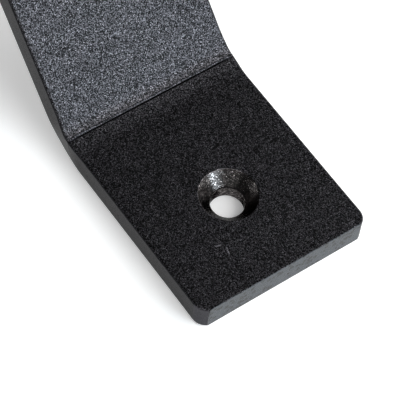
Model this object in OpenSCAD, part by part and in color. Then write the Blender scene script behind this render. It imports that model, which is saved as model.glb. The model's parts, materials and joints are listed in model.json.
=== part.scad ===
// Diagonal shelf bracket: one flat bar with a foot at each end.
// One foot screws to the shelf board and the other to the wall, and the bar
// between them is the brace. The screw heads sink in on the inside of the bends.
// The origin is the centre of the shelf foot's screw hole, on its mounting face.

/* [Bar] */
// Width of the flat bar
bar_w = 40; // [25:1:60]
// Thickness of the flat bar
bar_t = 6; // [4:0.5:8]

/* [Brace] */
// From the shelf foot's free end to the wall
reach = 200; // [150:5:400]
// From the shelf's face to the wall foot's free end
height = 200; // [150:5:400]

/* [Feet] */
// Foot from its free end to the inside of its bend
foot_len = 47; // [40:1:70]
// Rounding of the free end's corners
corner_r = 3; // [1:0.5:8]
// How far the square crop of the end bites into that rounding
crop = 0.3; // [0:0.1:0.8]

/* [Bends] */
// Inside radius of both bends
bend_r = 1; // [0.5:0.5:8]

/* [Screw holes] */
// Hole for the screw's shank
hole_d = 7; // [4:0.5:8]
// Countersink across its mouth
csk_d = 12.2; // [9:0.1:14]
// Included angle of the countersink
csk_angle = 82; // [82, 90, 100]
// Centre of the hole from the free end
hole_edge = 19.5; // [12:0.5:25]

/* [Hidden] */
$fn = 96;
cut = 1;                                   // how far a cutter passes a face

// The inside faces of the brace and the feet meet in two creases.
run = reach - bar_t - foot_len;            // from crease to crease, along the shelf
rise = height - bar_t - foot_len;          // from crease to crease, along the wall
brace_len = sqrt(run * run + rise * rise);
shelf_bend = atan2(rise, run);             // how far the bend at the shelf foot turns
wall_bend = 90 - shelf_bend;               // the rest of the square corner

// Flat that a bend takes up on each side of its crease
function setback(angle) = bend_r * tan(angle / 2);

// Flat length of bar along +Y, on z = 0, with its inside face up
module flat(len) {
    translate([-bar_w / 2, 0, 0]) cube([bar_w, len, bar_t]);
}

// Bend that starts at y = 0 and turns the bar up
module bend(angle) {
    translate([0, 0, bar_t + bend_r])
        rotate([0, 90, 0])
            rotate_extrude(angle = angle)
                translate([bend_r, -bar_w / 2]) square([bar_t, bar_w]);
}

// Puts what follows on the far end of that bend
module past_bend(angle) {
    translate([0, 0, bar_t + bend_r])
        rotate([angle, 0, 0])
            translate([0, 0, -bar_t - bend_r]) children();
}

// Outline of a foot: free end at y = 0, with its corners rounded and then cropped square
module foot_outline(len) {
    intersection() {
        union() {
            translate([-bar_w / 2, corner_r - crop]) square([bar_w, len]);
            translate([corner_r - bar_w / 2, -crop]) square([bar_w - 2 * corner_r, len]);
            for (side = [-1, 1])
                translate([side * (bar_w / 2 - corner_r), corner_r - crop]) circle(corner_r);
        }
        translate([-bar_w / 2, 0]) square([bar_w, len]);
    }
}

// Foot with its countersunk hole, len long from its free end to the start of its bend
module foot(len) {
    flare = tan(csk_angle / 2);
    csk_h = (csk_d - hole_d) / 2 / flare;
    difference() {
        linear_extrude(bar_t) foot_outline(len);
        translate([0, hole_edge, -cut]) cylinder(d = hole_d, h = bar_t + 2 * cut);
        translate([0, hole_edge, bar_t - csk_h])
            cylinder(d1 = hole_d, d2 = csk_d + 2 * cut * flare, h = csk_h + cut);
    }
}

// The whole bar, followed from the shelf foot's free end to the wall foot's
module bracket() {
    shelf_flat = foot_len - setback(shelf_bend);
    brace_flat = brace_len - setback(shelf_bend) - setback(wall_bend);
    wall_flat = foot_len - setback(wall_bend);
    color([0.11, 0.11, 0.13])
        translate([0, -hole_edge, 0]) {
            foot(shelf_flat);
            translate([0, shelf_flat, 0]) {
                bend(shelf_bend);
                past_bend(shelf_bend) {
                    flat(brace_flat);
                    translate([0, brace_flat, 0]) {
                        bend(wall_bend);
                        past_bend(wall_bend)
                            translate([0, wall_flat, 0]) mirror([0, 1, 0]) foot(wall_flat);
                    }
                }
            }
        }
}

bracket();
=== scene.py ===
# %% [markdown]
# # Diagonal shelf bracket
# One flat steel bar, bent twice: a foot that screws to the shelf board, a
# brace, and a foot that screws to the wall. It is powder coated in fine
# textured black. The solid model gives the frame, so the script starts by
# loading it, and takes the bar's outer sizes from its box.

# %% The frame
import json
import math

import bmesh
import bpy
from mathutils import Matrix, Vector


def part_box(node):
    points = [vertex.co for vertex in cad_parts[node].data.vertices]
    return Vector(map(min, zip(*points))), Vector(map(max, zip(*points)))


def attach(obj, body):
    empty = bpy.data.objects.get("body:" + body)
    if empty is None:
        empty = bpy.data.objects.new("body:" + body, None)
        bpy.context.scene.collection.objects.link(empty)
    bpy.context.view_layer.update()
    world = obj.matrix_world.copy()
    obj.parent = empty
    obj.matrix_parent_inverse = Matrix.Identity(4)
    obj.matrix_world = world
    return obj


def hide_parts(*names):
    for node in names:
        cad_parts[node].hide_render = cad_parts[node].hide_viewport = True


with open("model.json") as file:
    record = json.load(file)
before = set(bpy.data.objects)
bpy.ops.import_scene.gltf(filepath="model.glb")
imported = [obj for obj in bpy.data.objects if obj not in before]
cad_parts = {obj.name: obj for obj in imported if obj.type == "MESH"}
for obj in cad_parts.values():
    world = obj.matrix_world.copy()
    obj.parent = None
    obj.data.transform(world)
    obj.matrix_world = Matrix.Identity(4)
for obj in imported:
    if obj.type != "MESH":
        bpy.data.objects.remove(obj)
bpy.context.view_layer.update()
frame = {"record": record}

# %% [markdown]
# ## Sizes
# A brake press operator works from a flat blank, its bend lines and its holes,
# in millimetres. The outer sizes are measured on the solid model, so the new
# mesh can't drift from it. The mesh is drawn in millimetres and brought
# to metres at the end, because Blender merges points by distance, and a
# thousandth of a millimetre is easier to reason about than a millionth of a metre.

# %% Sizes of the bar
MM = 0.001
CLOSE = 0.01                         # what is nearer than this is in the same place
low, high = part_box("bracket")
BAR_W = (high.x - low.x) / MM
REACH = (high.y - low.y) / MM
HOLE_EDGE = -low.y / MM              # free end to the centre of the hole
BAR_T = 6.0
FOOT = 47.0                          # free end to the crease inside the bend
CORNER_R = 3.0
CROP = 0.3                           # what the square crop takes off the rounding
print(f"bar {BAR_W:.2f} x {BAR_T} mm, reach {REACH:.2f}, hole {HOLE_EDGE:.2f} from the end")

# %% Sizes of the bend and the hole
TURN = math.radians(45)
INSIDE_R = 1.0
BEND_START = FOOT - INSIDE_R * math.tan(TURN / 2)
HOLE_R = frame["record"]["mounts"][0]["dims"]["r_mm"]
SINK_R = 6.1                         # the countersink at its mouth
SINK_ANGLE = math.radians(82)
SINK_DEPTH = (SINK_R - HOLE_R) / math.tan(SINK_ANGLE / 2)
BRACE = math.sqrt(2) * (REACH - BAR_T - FOOT)        # crease to crease
HALF_BRACE = BRACE / 2 - INSIDE_R * math.tan(TURN / 2)
print(f"bend starts at {BEND_START:.3f}, countersink {SINK_DEPTH:.3f} deep")

# %% [markdown]
# ## The foot plate
# The real foot is sheared from bar, its corners are rounded and the hole is
# drilled and countersunk. A Boolean would leave long slivers round the hole.
# Here the outline and the hole are two loops of the same number of edges, and
# bridging them gives clean strips that run from the hole to the edge. Four
# points on a circle are a square, which is stretched over the plate.

# %% Outline of the plate
PLATE_END = 2 * HOLE_EDGE            # the hole sits in the middle of the plate
RIM_EDGES = 96
COLUMNS = 24                         # across the bar
CORNER_EDGES = 8
END_EDGES = 20
SIDE_EDGES = (RIM_EDGES - COLUMNS - END_EDGES - 2 * CORNER_EDGES) // 2


def plate_outline(bm):
    length = PLATE_END + CROP
    onto_plate = (Matrix.Translation((0, length / 2 - CROP, 0))
                  @ Matrix.Diagonal((BAR_W / 2, length / 2, 1, 1))
                  @ Matrix.Rotation(math.radians(45), 4, "Z"))
    bmesh.ops.create_circle(bm, segments=4, radius=math.sqrt(2), cap_ends=True,
                            matrix=onto_plate)
    corners = [v for v in bm.verts if v.co.y < 0]
    bmesh.ops.bevel(bm, geom=corners, offset=CORNER_R, offset_type="OFFSET",
                    segments=CORNER_EDGES, profile=0.5, affect="VERTICES", material=-1)
    bmesh.ops.delete(bm, geom=bm.faces[:], context="FACES_ONLY")
    for edge in bm.edges[:]:
        a, b = (v.co for v in edge.verts)
        if (a - b).length < CORNER_R:    # a step of a rounded corner
            continue
        along_bar = abs(a.x - b.x) < CLOSE
        count = SIDE_EDGES if along_bar else COLUMNS if a.y > CORNER_R else END_EDGES
        bmesh.ops.subdivide_edges(bm, edges=[edge], cuts=count - 1)
    return bm.edges[:]


# %% Hole, bridge and thickness
ON_PLANE = 1e-5                      # a point this near the crop lies on it


def unique(items):
    """Each item once, in the order they come, which a set would not keep."""
    return list(dict.fromkeys(items))


def foot_plate():
    bm = bmesh.new()
    outline = plate_outline(bm)
    hole = Matrix.Translation((0, HOLE_EDGE, 0))
    rim = bmesh.ops.create_circle(bm, segments=RIM_EDGES, radius=HOLE_R, matrix=hole)
    rim = unique(e for v in rim["verts"] for e in v.link_edges)
    bmesh.ops.bridge_loops(bm, edges=outline + rim)
    everything = bm.verts[:] + bm.edges[:] + bm.faces[:]
    bmesh.ops.bisect_plane(bm, geom=everything, dist=ON_PLANE, plane_co=(0, 0, 0),
                           plane_no=(0, -1, 0), clear_outer=True)
    top = bmesh.ops.extrude_face_region(bm, geom=bm.faces[:])["geom"]
    top = [g for g in top if isinstance(g, bmesh.types.BMVert)]
    bmesh.ops.translate(bm, vec=(0, 0, BAR_T), verts=top)
    bmesh.ops.recalc_face_normals(bm, faces=bm.faces[:])
    return bm


bar = foot_plate()
print("plate:", len(bar.verts), "points,", len(bar.faces), "faces, volume",
      round(bar.calc_volume(signed=True), 1))

# %% [markdown]
# ## The countersink
# The wall of the drilled hole is a ring of tall faces. One cut across them
# gives the throat, where the drill's bore turns into the cone, and the upper
# rim is scaled out to the mouth. The throat sits at the depth that the cone's
# angle asks for, so a flat-head screw would seat in it.

# %% Throat and mouth
def hole_distance(point):
    return math.hypot(point.x, point.y - HOLE_EDGE)


def countersink(bm):
    wall = [e for e in bm.edges if all(hole_distance(v.co) < HOLE_R + CLOSE for v in e.verts)
            and abs(e.verts[0].co.z - e.verts[1].co.z) > CLOSE]
    cut = bmesh.ops.subdivide_edges(bm, edges=wall, cuts=1, use_grid_fill=True)
    throat = [g for g in cut["geom_inner"] if isinstance(g, bmesh.types.BMVert)]
    bmesh.ops.translate(bm, vec=(0, 0, BAR_T / 2 - SINK_DEPTH), verts=throat)
    mouth = [v for v in bm.verts
             if v.co.z > BAR_T - CLOSE and hole_distance(v.co) < HOLE_R + CLOSE]
    flare = SINK_R / HOLE_R
    bmesh.ops.scale(bm, vec=(flare, flare, 1), verts=mouth,
                    space=Matrix.Translation((0, -HOLE_EDGE, 0)))
    return throat, mouth


throat, mouth = countersink(bar)
print("throat at", round(throat[0].co.z, 3), "mm, mouth radius",
      round(hole_distance(mouth[0].co), 3))

# %% [markdown]
# ## The bend and half the brace
# The end of the plate is pushed out along the bar in short steps, spun through
# 45 degrees, and pushed on to the middle of the brace. Extrude and spin
# keep the cross-section, as a brake press nearly does. The short steps on both
# sides of the bend, finer where the fold will be, are there for the next step,
# which moves them.

# %% Pushing out the open end of the bar
PARALLEL = 0.99                      # cosine between two directions that are the same


def end_faces(bm, point, normal):
    return [f for f in bm.faces if abs((f.calc_center_median() - point).dot(normal)) < CLOSE
            and abs(f.normal.dot(normal)) > PARALLEL]


def whole(faces):
    """Faces with their edges and points, as a selection in the editor would hold them."""
    return (faces + unique(e for f in faces for e in f.edges)
            + unique(v for f in faces for v in f.verts))


def push(bm, faces, travel):
    made = bmesh.ops.extrude_face_region(bm, geom=whole(faces))["geom"]
    verts = [g for g in made if isinstance(g, bmesh.types.BMVert)]
    bmesh.ops.translate(bm, vec=travel, verts=verts)
    return [g for g in made if isinstance(g, bmesh.types.BMFace)]


def push_in_steps(bm, faces, direction, distance, step):
    count = round(distance / step)
    for _ in range(count):
        faces = push(bm, faces, direction * distance / count)
    return faces


# %% Foot, bend, half brace
STEP, FINE_STEP = 0.8, 0.07
NEAR_FOLD = 0.7                      # of the foot, before the bend
NEAR_BEND = 10.0                     # of the brace, past the bend
BEND_STEPS = 12
ALONG_FOOT = Vector((0, 1, 0))
ALONG_BRACE = Vector((0, math.cos(TURN), math.sin(TURN)))
BEND_CENTRE = Vector((0, BEND_START, BAR_T + INSIDE_R))

end = end_faces(bar, Vector((0, PLATE_END, 0)), ALONG_FOOT)
print("faces in the cross-section:", len(end))
end = push_in_steps(bar, end, ALONG_FOOT, BEND_START - PLATE_END - NEAR_FOLD, STEP)
end = push_in_steps(bar, end, ALONG_FOOT, NEAR_FOLD, FINE_STEP)
spun = bmesh.ops.spin(bar, geom=whole(end), cent=BEND_CENTRE, axis=(1, 0, 0),
                      angle=TURN, steps=BEND_STEPS, use_merge=False)
end = [g for g in spun["geom_last"] if isinstance(g, bmesh.types.BMFace)]
end = push_in_steps(bar, end, ALONG_BRACE, NEAR_BEND, STEP)
end = push(bar, end, ALONG_BRACE * (HALF_BRACE - NEAR_BEND))
bmesh.ops.delete(bar, geom=end, context="FACES")
bmesh.ops.recalc_face_normals(bar, faces=bar.faces[:])
print("half a bracket:", len(bar.faces), "faces, top at",
      round(max(v.co.z for v in bar.verts), 3))

# %% [markdown]
# ## What bending does to the metal
# A tight bend squeezes the metal inside it, which swells out at the sides and
# piles up in the corner, and stretches the metal outside it, which draws in.
# On this bar that is about half a millimetre each way. It fades along the bar,
# and the swelling also fades towards the bar's middle. Where the pile meets the
# foot, the skin folds into a fine groove that stops short of the sides. Its dark
# line is its own shade, deepened by painted shade: its faces get the darker coat
# of the sides.
# Every point near the bend is found by the length of its own fibre, and moved.

# %% Where the metal goes
SWELL, SWELL_REACH = 0.34, 6.0       # out at the sides, inside the bend
DRAW, DRAW_REACH = 0.52, 7.5         # in at the sides, outside the bend
FADE_IN = 10.0                       # both fade out this far from the side edge
PILE = 0.65                          # proud of the inside faces at the crease
PILE_ON_FOOT, PILE_ON_BRACE = 5.5, 2.5               # how far along each it runs
FOLD, FOLD_PLACE, FOLD_REACH = 0.42, -0.68, 0.23     # depth, place, half its width
UNFOLDED, FOLDED = 0.6, 2.2          # from the side edge, where the fold starts and is whole


def share(value):
    """The value, kept between 0 and 1."""
    return min(1.0, max(0.0, value))


def hump(distance, reach):
    return math.cos(math.pi / 2 * distance / reach) ** 2 if abs(distance) < reach else 0.0


def fibre(point):
    """How far a point is from the middle of the bend along the bar, and its radius."""
    back = Matrix.Rotation(-TURN, 3, "X") @ (point - BEND_CENTRE)
    arm = point - BEND_CENTRE
    if arm.y <= 0:
        return arm.y + arm.z * TURN / 2, -arm.z
    if back.y >= 0:
        return back.y - back.z * TURN / 2, -back.z
    radius = math.hypot(arm.y, arm.z)
    return radius * (math.atan2(arm.y, -arm.z) - TURN / 2), radius


def inside_normal(distance):
    turn = share(distance / (INSIDE_R * TURN) + 0.5) * TURN
    return Vector((0, -math.sin(turn), math.cos(turn)))


def pile_up(distance):
    reach = PILE_ON_FOOT if distance < 0 else PILE_ON_BRACE
    return PILE * share(1 - abs(distance) / reach) ** 2


def fold_depth(distance, from_side):
    across = share((from_side - UNFOLDED) / (FOLDED - UNFOLDED))
    return FOLD * hump(distance - FOLD_PLACE, FOLD_REACH) * across


def is_in_fold(face):
    centre = face.calc_center_median()
    distance, radius = fibre(centre)
    return (radius < INSIDE_R + CLOSE and abs(distance - FOLD_PLACE) < FOLD_REACH
            and abs(centre.x) < BAR_W / 2 - UNFOLDED)


# %% Moving the points
# Faces of the fold, which get the darker side coat: painted shade in the crease.
painted_crease_faces = {face for face in bar.faces if is_in_fold(face)}
for vert in bar.verts:
    distance, radius = fibre(vert.co)
    from_side = BAR_W / 2 - abs(vert.co.x)
    if radius < INSIDE_R + CLOSE:
        proud = pile_up(distance) - fold_depth(distance, from_side)
        vert.co += proud * inside_normal(distance)
    outward = (radius - INSIDE_R) / BAR_T
    shift = (1 - outward) * SWELL * hump(distance, SWELL_REACH)
    shift -= outward * DRAW * hump(distance, DRAW_REACH)
    fade = share(1 - from_side / FADE_IN) ** 2
    vert.co.x += math.copysign(1.0, vert.co.x) * shift * fade
print("widest point", round(max(v.co.x for v in bar.verts), 3), "mm from the middle,",
      len(painted_crease_faces), "faces in the fold")

# %% [markdown]
# ## Edges
# Hot rolling leaves the long edges of a flat bar rounded, a little more on one
# side than on the other, and the shear leaves its ends nearly sharp. A Bevel
# modifier takes a weight from each edge, so one modifier gives every edge its
# own radius. The weights are written before the foot is mirrored, and go with it.

# %% Radius of each edge
LONG_EDGE, BACK_EDGE, END_EDGE = 0.60, 0.80, 0.16
CROPPED_EDGE = 0.12                  # upright, where the crop meets the rounding
MOUTH_EDGE, THROAT_EDGE, BORE_EDGE = 0.16, 0.25, 0.2
SHARP = math.radians(20)


def edge_radius(edge):
    if not edge.is_manifold or edge.calc_face_angle() < SHARP:
        return 0.0
    a, b = (v.co for v in edge.verts)
    middle = (a + b) / 2
    on_plate = middle.y < PLATE_END
    if on_plate and hole_distance(middle) < SINK_R + CLOSE:
        upper = MOUTH_EDGE if middle.z > BAR_T - CLOSE else THROAT_EDGE
        return upper if middle.z > CLOSE else BORE_EDGE
    if on_plate and abs(a.z - b.z) > CLOSE:
        return CROPPED_EDGE
    if not on_plate and abs(a.x - b.x) > BAR_W / COLUMNS / 2:
        return 0.0                   # it runs across the bar, in the fold
    full = BACK_EDGE if fibre(middle)[1] > INSIDE_R + BAR_T / 2 else LONG_EDGE
    return END_EDGE + (full - END_EDGE) * share(middle.y / CORNER_R)


weights = bar.edges.layers.float.new("bevel_weight_edge")
for edge in bar.edges:
    edge[weights] = edge_radius(edge) / BACK_EDGE
print("rounded edges:", sum(1 for e in bar.edges if e[weights] > 0))

# %% [markdown]
# ## Five places for the finish
# The coat is one colour, but it lies differently on the rolled faces, on the
# sides, in the hole, on the sheared end and round the corners. The places'
# materials are also lit and shaded copies of it: darker on the sides for painted
# shade, lighter round the corners for painted light, and in the countersink far
# more mirror-like with a dimmed rim, for a painted bright highlight and painted
# shade at its edge. Each gets its own material from one recipe, so every face is
# told which it belongs to.
# The faces of the fold inside the bend get the smoother, darker coat of the sides:
# painted shade in the crease.

# %% Faces sorted by place
FACE, SIDE, SINK, END, CORNER = range(5)
STRAIGHT = 0.9                       # cosine between a face's normal and an axis it follows


def place_of(face):
    centre, normal = face.calc_center_median(), face.normal
    upright = abs(normal.z) < STRAIGHT
    if upright and centre.y < PLATE_END and hole_distance(centre) < SINK_R:
        return SINK
    if upright and centre.y < CORNER_R:
        return END if normal.y < -STRAIGHT else CORNER
    # Faces in the fold get the darker side coat: painted shade in the crease.
    return SIDE if abs(normal.x) > STRAIGHT or face in painted_crease_faces else FACE


for face in bar.faces:
    face.material_index = place_of(face)
    face.smooth = True
print("faces by place:", [sum(1 for f in bar.faces if f.material_index == i) for i in range(5)])

# %% [markdown]
# ## The second foot
# Both feet come from the same tooling. Mirror joins the two halves only where
# they meet on the plane y = 0, so the half bracket is first turned until the
# cut through its brace lies there, and afterwards it is turned back.

# %% Mirror, metres, object
MERGE = 0.001


def finished_bracket(bm):
    middle = BEND_CENTRE + ALONG_BRACE * HALF_BRACE
    to_plane = Matrix.Rotation(-TURN, 4, "X") @ Matrix.Translation(-middle)
    bmesh.ops.transform(bm, matrix=to_plane, verts=bm.verts)
    everything = bm.verts[:] + bm.edges[:] + bm.faces[:]
    bmesh.ops.mirror(bm, geom=everything, matrix=Matrix.Identity(4), merge_dist=MERGE, axis="Y")
    bmesh.ops.transform(bm, matrix=to_plane.inverted(), verts=bm.verts)
    bmesh.ops.recalc_face_normals(bm, faces=bm.faces[:])
    bmesh.ops.translate(bm, vec=(0, -HOLE_EDGE, 0), verts=bm.verts)
    bmesh.ops.scale(bm, vec=(MM, MM, MM), verts=bm.verts)
    open_edges = sum(1 for e in bm.edges if not e.is_manifold)
    print("open edges:", open_edges, "volume mm3:", round(bm.calc_volume() / MM ** 3, 1))
    mesh = bpy.data.meshes.new("coated_bar")
    bm.to_mesh(mesh)
    bm.free()
    piece = bpy.data.objects.new("coated_bar", mesh)
    bpy.context.scene.collection.objects.link(piece)
    return piece


bracket = finished_bracket(bar)
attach(bracket, "root")
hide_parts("bracket")

# %% Rounding the edges
rounding = bracket.modifiers.new("rounded edges", "BEVEL")
rounding.limit_method = "WEIGHT"
rounding.width = BACK_EDGE * MM
rounding.segments = 4
rounding.profile = 0.5
rounding.use_clamp_overlap = False
flatten = bracket.modifiers.new("flat faces", "WEIGHTED_NORMAL")
flatten.keep_sharp = False
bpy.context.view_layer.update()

# %% [markdown]
# ## Writing shader maths
# A number that changes over a surface is worked out by Math nodes. Wrapped in
# a small class, an output socket can be added, multiplied or taken from 1, and
# each expression lays the nodes that it needs.

# %% A socket that does arithmetic
class Value:
    def __init__(self, tree, socket):
        self.tree, self.socket = tree, socket

    def maths(self, operation, *values):
        return add_node(self.tree, "ShaderNodeMath", {"operation": operation},
                        dict(enumerate(values)))

    def __add__(self, other):
        return self.maths("ADD", self, other)

    def __radd__(self, other):
        return self.maths("ADD", other, self)

    def __sub__(self, other):
        return self.maths("SUBTRACT", self, other)

    def __rsub__(self, other):
        return self.maths("SUBTRACT", other, self)

    def __mul__(self, other):
        return self.maths("MULTIPLY", self, other)

    def __rmul__(self, other):
        return self.maths("MULTIPLY", other, self)

    def __truediv__(self, other):
        return self.maths("DIVIDE", self, other)


# %% Nodes
def add_node(tree, kind, settings=None, values=None, output=0):
    """One node: its settings first, then its sockets, by name or by number."""
    node = tree.nodes.new(kind)
    for name, setting in (settings or {}).items():
        setattr(node, name, setting)
    for key, value in (values or {}).items():
        if isinstance(value, Value):
            tree.links.new(value.socket, node.inputs[key])
        else:
            node.inputs[key].default_value = value
    return Value(tree, node.outputs[output])


def smooth_step(value, start, stop, low=0.0, high=1.0):
    """From low to high, eased at both ends, while the value goes from start to stop."""
    return add_node(value.tree, "ShaderNodeMapRange", {"interpolation_type": "SMOOTHSTEP"},
                    {"Value": value, "From Min": start, "From Max": stop,
                     "To Min": low, "To Max": high})


# %% [markdown]
# ## Textured powder coat
# Fine-texture powder melts into a skin of tiny round grains with a satin gloss.
# Seen at a glance it is black, and where it mirrors a light it sparkles.
# Grains this small are finer than a bump can show from a distance, so each
# Voronoi cell gets a mirror strength of its own in place of its tilt: half are
# dark, partly random tone and partly painted shade, each grain's middle carries a
# painted highlight with painted shade towards its rim, and a few carry painted
# glints.
# A low bump under them softens the mirror. The coat is nearly all Metallic,
# so what the eye sees is the reflection and hardly any paint colour.

# %% Grain
BLACK = (0.92, 0.90, 1.0)            # with a hint of blue
GRAIN = 0.15                         # mm across one grain
LIT, LIT_FROM, LIT_TO = 0.21, 0.50, 0.78             # the lighter half of the grains
PAINTED_GLINT, GLINT_FROM, GLINT_TO = 0.23, 0.95, 0.97       # painted glints, on one grain in twenty-five
GRAIN_HIGHLIGHT = 1.2                           # painted highlight in a grain's middle, fading to painted shade at its rim
UNEVEN = 0.5                         # how unequally high the grains stand
LUMP_GRAINS, LUMP_HEIGHT = 4, 0.25   # lumps of the coat are a few grains across
CLOUD = 7.0                          # mm across a change of the coat's gloss
NOISE_MIDDLE = 0.5


class Surface:
    """The patterns that one place's coat is mixed from, laid in its node tree."""

    def __init__(self, tree, grain):
        self.place = add_node(tree, "ShaderNodeTexCoord", output="Object")
        self.tree = tree
        cells = {"Vector": self.place, "Scale": 1 / (grain * MM)}
        dome = add_node(tree, "ShaderNodeTexVoronoi", None, cells)
        chance = add_node(tree, "ShaderNodeTexVoronoi", None, cells, output=1)
        self.grains = add_node(tree, "ShaderNodeSeparateColor", None, {0: chance})
        self.lumps = self.noise(grain * LUMP_GRAINS, detail=1.0)
        self.cloud = self.noise(CLOUD, detail=3.0)
        # Random tone of the grains, with a painted highlight in each middle, painted shade at
        # each rim and painted glints on a few.
        self.bright = (LIT * smooth_step(self.grains, LIT_FROM, LIT_TO) * (GRAIN_HIGHLIGHT - dome)
                       + PAINTED_GLINT * smooth_step(self.grains, GLINT_FROM, GLINT_TO))
        self.height = UNEVEN * self.grains - dome + LUMP_HEIGHT * self.lumps

    def noise(self, size, detail):
        return add_node(self.tree, "ShaderNodeTexNoise", None,
                        {"Vector": self.place, "Scale": 1 / (size * MM), "Detail": detail})


# %% [markdown]
# ## Wear
# The shelf foot has three little scuffs, where the grains are torn up and
# catch the light. The sheared ends are paler and cloudy, with dark pits.

# %% Scuffs and pits
SCUFFS = [((-9.0, -8.4), (-8.2, -8.6)), ((-7.4, -9.7), (-7.7, -10.4)),
          ((-7.6, -10.4), (-7.9, -11.4))]            # from point to point, in mm
SCUFF_RIM, SCUFF_CORE = 0.30, 0.05   # mm from its line
SCUFF_LIGHT, SCUFF_HEIGHT = 0.4, 2.0
SCUFF_RAGGED = 0.5                   # mm, how much its outline wanders
PIT_SPACING = 1.2                    # mm
PIT_RIM, PIT_FLOOR, PIT_RAGGED = 0.42, 0.36, 0.4     # in spacings
SHEARED, SHEARED_GRAIN, SHEARED_CLOUD = 0.75, 0.25, 0.4    # its paleness, and what varies it


def off_line(tree, place, start, stop):
    """Distance in mm from a short line on the foot, seen from above."""
    along = Vector(stop) - Vector(start)
    axes = [add_node(tree, "ShaderNodeSeparateXYZ", None, {0: place}, output=i) for i in (0, 1)]
    x, y = (axis / MM - origin for axis, origin in zip(axes, start))
    part = (x * along.x + y * along.y) / along.length_squared
    part = part.maths("MINIMUM", part.maths("MAXIMUM", part, 0.0), 1.0)
    x, y = x - part * along.x, y - part * along.y
    return x.maths("SQRT", x * x + y * y)


def scuffed(surface):
    for start, stop in SCUFFS:
        away = off_line(surface.tree, surface.place, start, stop)
        away = away + SCUFF_RAGGED * (surface.cloud - NOISE_MIDDLE)
        scuff = smooth_step(away, SCUFF_RIM, SCUFF_CORE)
        surface.bright = surface.bright + SCUFF_LIGHT * surface.grains * scuff
        surface.height = surface.height + SCUFF_HEIGHT * scuff


def sheared(surface):
    spots = add_node(surface.tree, "ShaderNodeTexVoronoi", None,
                     {"Vector": surface.place, "Scale": 1 / (PIT_SPACING * MM)})
    ragged = spots + PIT_RAGGED * (surface.lumps - NOISE_MIDDLE)
    pit = smooth_step(ragged, PIT_RIM, PIT_FLOOR)
    pale = (SHEARED + SHEARED_GRAIN * surface.bright
            + SHEARED_CLOUD * (surface.cloud - NOISE_MIDDLE))
    surface.bright = pale * (1 - pit)


# %% The recipe
FACTOR, COLOUR_A, COLOUR_B, COLOUR_OUT = 0, 6, 7, 2  # sockets of a Mix node


def coat(name, dark, light, rough, smooth, relief, patches, grain=GRAIN, metallic=1.0,
         edge=1.0, wear=None, tint=BLACK):
    """Grains from dark and rough to light and smooth, with a relief in mm.

    Patches is how much the gloss changes from place to place, and edge is
    what is left of the mirror where it is seen at a low angle.
    """
    material = bpy.data.materials.new(name)
    material.use_nodes = True
    tree = material.node_tree
    shader = tree.nodes["Principled BSDF"]
    surface = Surface(tree, grain)
    if wear:
        wear(surface)
    bump = add_node(tree, "ShaderNodeBump", None,
                    {"Strength": 1.0, "Distance": relief * MM, "Height": surface.height})
    gloss = (rough + (smooth - rough) * surface.grains
             + patches * (surface.cloud - NOISE_MIDDLE))
    darkest, lightest = (tuple(level * c for c in tint) + (1,) for level in (dark, light))
    tone = add_node(tree, "ShaderNodeMix", {"data_type": "RGBA"},
                    {FACTOR: surface.bright, COLOUR_A: darkest, COLOUR_B: lightest},
                    output=COLOUR_OUT)
    tree.links.new(bump.socket, shader.inputs["Normal"])
    tree.links.new(gloss.socket, shader.inputs["Roughness"])
    tree.links.new(tone.socket, shader.inputs["Base Color"])
    shader.inputs["Metallic"].default_value = metallic
    shader.inputs["Specular Tint"].default_value = (edge, edge, edge, 1)
    return material


# %% Materials, in the order of the places
COATS = {
    "coat_on_faces": dict(dark=0.005, light=0.60, rough=0.31, smooth=0.31, relief=0.027,
                          patches=0.06, metallic=0.9, wear=scuffed),
    # Smoother than on the faces, and darker: painted shade on the sides and in the fold.
    "coat_on_sides": dict(dark=0.01, light=0.10, rough=0.28, smooth=0.24, relief=0.01,
                          patches=0.05, edge=0.75),
    # A far more mirror-like copy of the coat: a painted bright highlight in the countersink,
    # painted shade at its rim from the low edge, and a warm tint that cancels the cool key light
    # in the highlight.
    "coat_in_countersink": dict(dark=0.06, light=1.00, rough=0.20, smooth=0.12, relief=0.02,
                                patches=0.04, grain=0.26, edge=0.2, tint=(1.0, 0.94, 0.93)),
    "coat_on_end": dict(dark=0.01, light=0.078, rough=0.36, smooth=0.30, relief=0.02,
                        patches=0.06, metallic=0.9, wear=sheared, tint=(0.74, 0.87, 1.0)),
    # A lighter copy of the side coat: painted light on the rounded corners.
    "coat_on_corners": dict(dark=0.05, light=0.15, rough=0.28, smooth=0.24, relief=0.01,
                            patches=0.05, edge=0.62),
}
for name, recipe in COATS.items():
    bracket.data.materials.append(coat(name, **recipe))
for index, slot in enumerate(bracket.material_slots):
    print(slot.name, sum(1 for f in bracket.data.polygons if f.material_index == index), "faces")

# %% [markdown]
# ## Floor
# The bracket lies on a plain white table that runs out to a backdrop, which
# rises all round. Both are whiter to the eye and in mirrors than in the light
# that they give back, so that the shadow stays. Under the foot less of that
# whiteness is left, because the table seen through the hole is shaded.

# %% Table and backdrop, in metres
TABLE_R = 4.0
TABLE_EDGES = 96
TABLE_Z = -0.0002                    # just clear of the foot
SWEEP = [(2.0, 0.1), (1.5, 0.3), (0.8, 0.5), (0.3, 0.6)]    # outwards and up
TABLE_WHITE, TABLE_ROUGHNESS = (0.96, 0.96, 0.955, 1), 0.9
WHITENING, WHITENING_R = 0.36, 0.6   # as far as this from the bracket; it is 1 at TABLE_R
SHADE, SHADE_IN, SHADE_OUT = 0.5, 0.010, 0.019       # what is left under the foot


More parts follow.
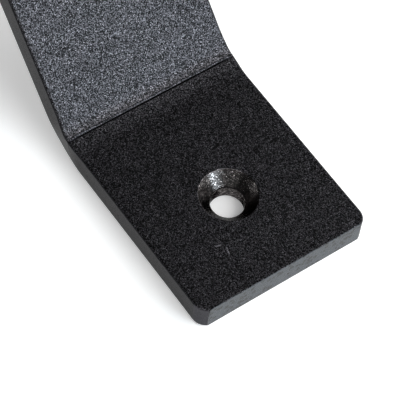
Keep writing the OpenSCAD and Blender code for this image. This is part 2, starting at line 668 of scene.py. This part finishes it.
def white_floor():
    bm = bmesh.new()
    bmesh.ops.create_circle(bm, segments=TABLE_EDGES, radius=TABLE_R, cap_ends=True)
    rim, reach = bm.edges[:], TABLE_R
    for out, up in SWEEP:
        made = bmesh.ops.extrude_edge_only(bm, edges=rim)["geom"]
        verts = [g for g in made if isinstance(g, bmesh.types.BMVert)]
        rim = [g for g in made if isinstance(g, bmesh.types.BMEdge)]
        wider = (reach + out) / reach
        bmesh.ops.scale(bm, vec=(wider, wider, 1), verts=verts)
        bmesh.ops.translate(bm, vec=(0, 0, up), verts=verts)
        reach += out
    bmesh.ops.recalc_face_normals(bm, faces=bm.faces[:])
    bm.faces.ensure_lookup_table()
    if bm.faces[0].normal.z < 0:
        bmesh.ops.reverse_faces(bm, faces=bm.faces[:])
    bmesh.ops.translate(bm, vec=(0, 0, TABLE_Z), verts=bm.verts)
    mesh = bpy.data.meshes.new("table_top")
    bm.to_mesh(mesh)
    bm.free()
    mesh.materials.append(white_table())
    floor = bpy.data.objects.new("table_top", mesh)
    bpy.context.scene.collection.objects.link(floor)
    print("table and backdrop:", round(2 * reach, 1), "m across")


def white_table():
    material = bpy.data.materials.new("white_table")
    material.use_nodes = True
    tree = material.node_tree
    shader = tree.nodes["Principled BSDF"]
    shader.inputs["Base Color"].default_value = TABLE_WHITE
    shader.inputs["Roughness"].default_value = TABLE_ROUGHNESS
    shader.inputs["Specular IOR Level"].default_value = 0.0
    seen = add_node(tree, "ShaderNodeLightPath", output="Is Camera Ray")
    for rays in ("Is Glossy Ray", "Is Transmission Ray"):
        seen = seen.maths("MAXIMUM", seen, add_node(tree, "ShaderNodeLightPath", output=rays))
    place = add_node(tree, "ShaderNodeTexCoord", output="Object")
    away = add_node(tree, "ShaderNodeVectorMath", {"operation": "LENGTH"}, {0: place},
                    output="Value")
    white = smooth_step(away, WHITENING_R, TABLE_R, WHITENING, 1.0)
    under = smooth_step(away, SHADE_IN, SHADE_OUT, SHADE, 1.0)
    glow = add_node(tree, "ShaderNodeEmission", None,
                    {"Color": (1, 1, 1, 1), "Strength": white * under * seen})
    mixed = add_node(tree, "ShaderNodeAddShader", None,
                     {0: Value(tree, shader.outputs[0]), 1: glow})
    tree.links.new(mixed.socket, tree.nodes["Material Output"].inputs["Surface"])
    return material


white_floor()

# %% [markdown]
# ## Light
# Five softboxes stand round the bracket in a dim room. The brace mirrors the
# two in front, the foot mirrors the room behind, and the shadow falls to the
# left. The room is brighter on the side of the lamps.

# %% Softboxes
LAMP_DISTANCE = 4.0
COOL = (0.81, 0.925, 1.0)
WHITE = (1, 1, 1)


def softbox(name, toward, width, height, radiance, tint):
    """A lamp that faces the bracket from a direction, with a brightness of its own."""
    lamp = bpy.data.lights.new(name, "AREA")
    lamp.shape = "RECTANGLE"
    lamp.size, lamp.size_y = width, height
    lamp.energy = radiance * math.pi * width * height
    lamp.color = tint
    box = bpy.data.objects.new(name, lamp)
    toward = Vector(toward).normalized()
    box.location = toward * LAMP_DISTANCE
    box.rotation_mode = "QUATERNION"
    box.rotation_quaternion = toward.to_track_quat("Z", "Y")
    box.visible_camera = False
    bpy.context.scene.collection.objects.link(box)


softbox("key_softbox", (0.36, -0.85, 0.38), 1.2, 1.2, 8.8, COOL)
softbox("front_softbox", (0.31, -0.77, 0.56), 3.4, 1.6, 2.4, COOL)
softbox("overhead_softbox", (0.26, -0.46, 0.85), 2.6, 2.2, 3.7, WHITE)
softbox("left_softbox", (-0.55, -0.38, 0.74), 2.4, 2.4, 1.6, WHITE)
softbox("right_softbox", (0.76, -0.07, 0.64), 2.0, 2.0, 3.4, WHITE)

# %% Room light
LAMP_SIDE = Vector((0.72, -0.68, -0.10)).normalized()
DIM_ROOM, LIT_ROOM = 0.02, 0.60
DIM_FROM, LIT_AT = -0.4, 1.0         # cosine of the angle from the lamps' side


def room_light():
    world = bpy.data.worlds.new("studio_room")
    bpy.context.scene.world = world
    world.use_nodes = True
    tree = world.node_tree
    direction = add_node(tree, "ShaderNodeTexCoord", output="Generated")
    toward_lamps = add_node(tree, "ShaderNodeVectorMath", {"operation": "DOT_PRODUCT"},
                            {0: direction, 1: LAMP_SIDE}, output="Value")
    glow = smooth_step(toward_lamps, DIM_FROM, LIT_AT, DIM_ROOM, LIT_ROOM)
    background = tree.nodes["Background"]
    background.inputs["Color"].default_value = (1, 1, 1, 1)
    tree.links.new(glow.socket, background.inputs["Strength"])


room_light()

# %% [markdown]
# ## Camera
# A long lens looks down on the foot from its free end. The camera is placed by
# its direction, distance and roll, as on a tripod.

# %% Camera
LENS, SENSOR = 198.23, 36            # mm
AROUND, ABOVE, ROLL = -41.451, 57.362, 7.778         # degrees
AIM = Vector((-3.006, 4.845, 0))     # mm, the point on the table that the lens faces
DISTANCE = 439.81                    # mm, from that point


def camera():
    lens = bpy.data.cameras.new("camera")
    lens.lens = LENS
    lens.sensor_width = SENSOR
    tripod = bpy.data.objects.new("camera", lens)
    bpy.context.scene.collection.objects.link(tripod)
    around, above, roll = (math.radians(a) for a in (AROUND, ABOVE, ROLL))
    back = Vector((math.sin(around) * math.cos(above), -math.cos(around) * math.cos(above),
                   math.sin(above)))
    tripod.location = AIM * MM + back * DISTANCE * MM
    turn = (-back).to_track_quat("-Z", "Y").to_matrix() @ Matrix.Rotation(roll, 3, "Z")
    tripod.rotation_mode = "QUATERNION"
    tripod.rotation_quaternion = turn.to_quaternion()
    bpy.context.scene.camera = tripod
    bpy.context.scene.view_settings.view_transform = "Standard"


camera()
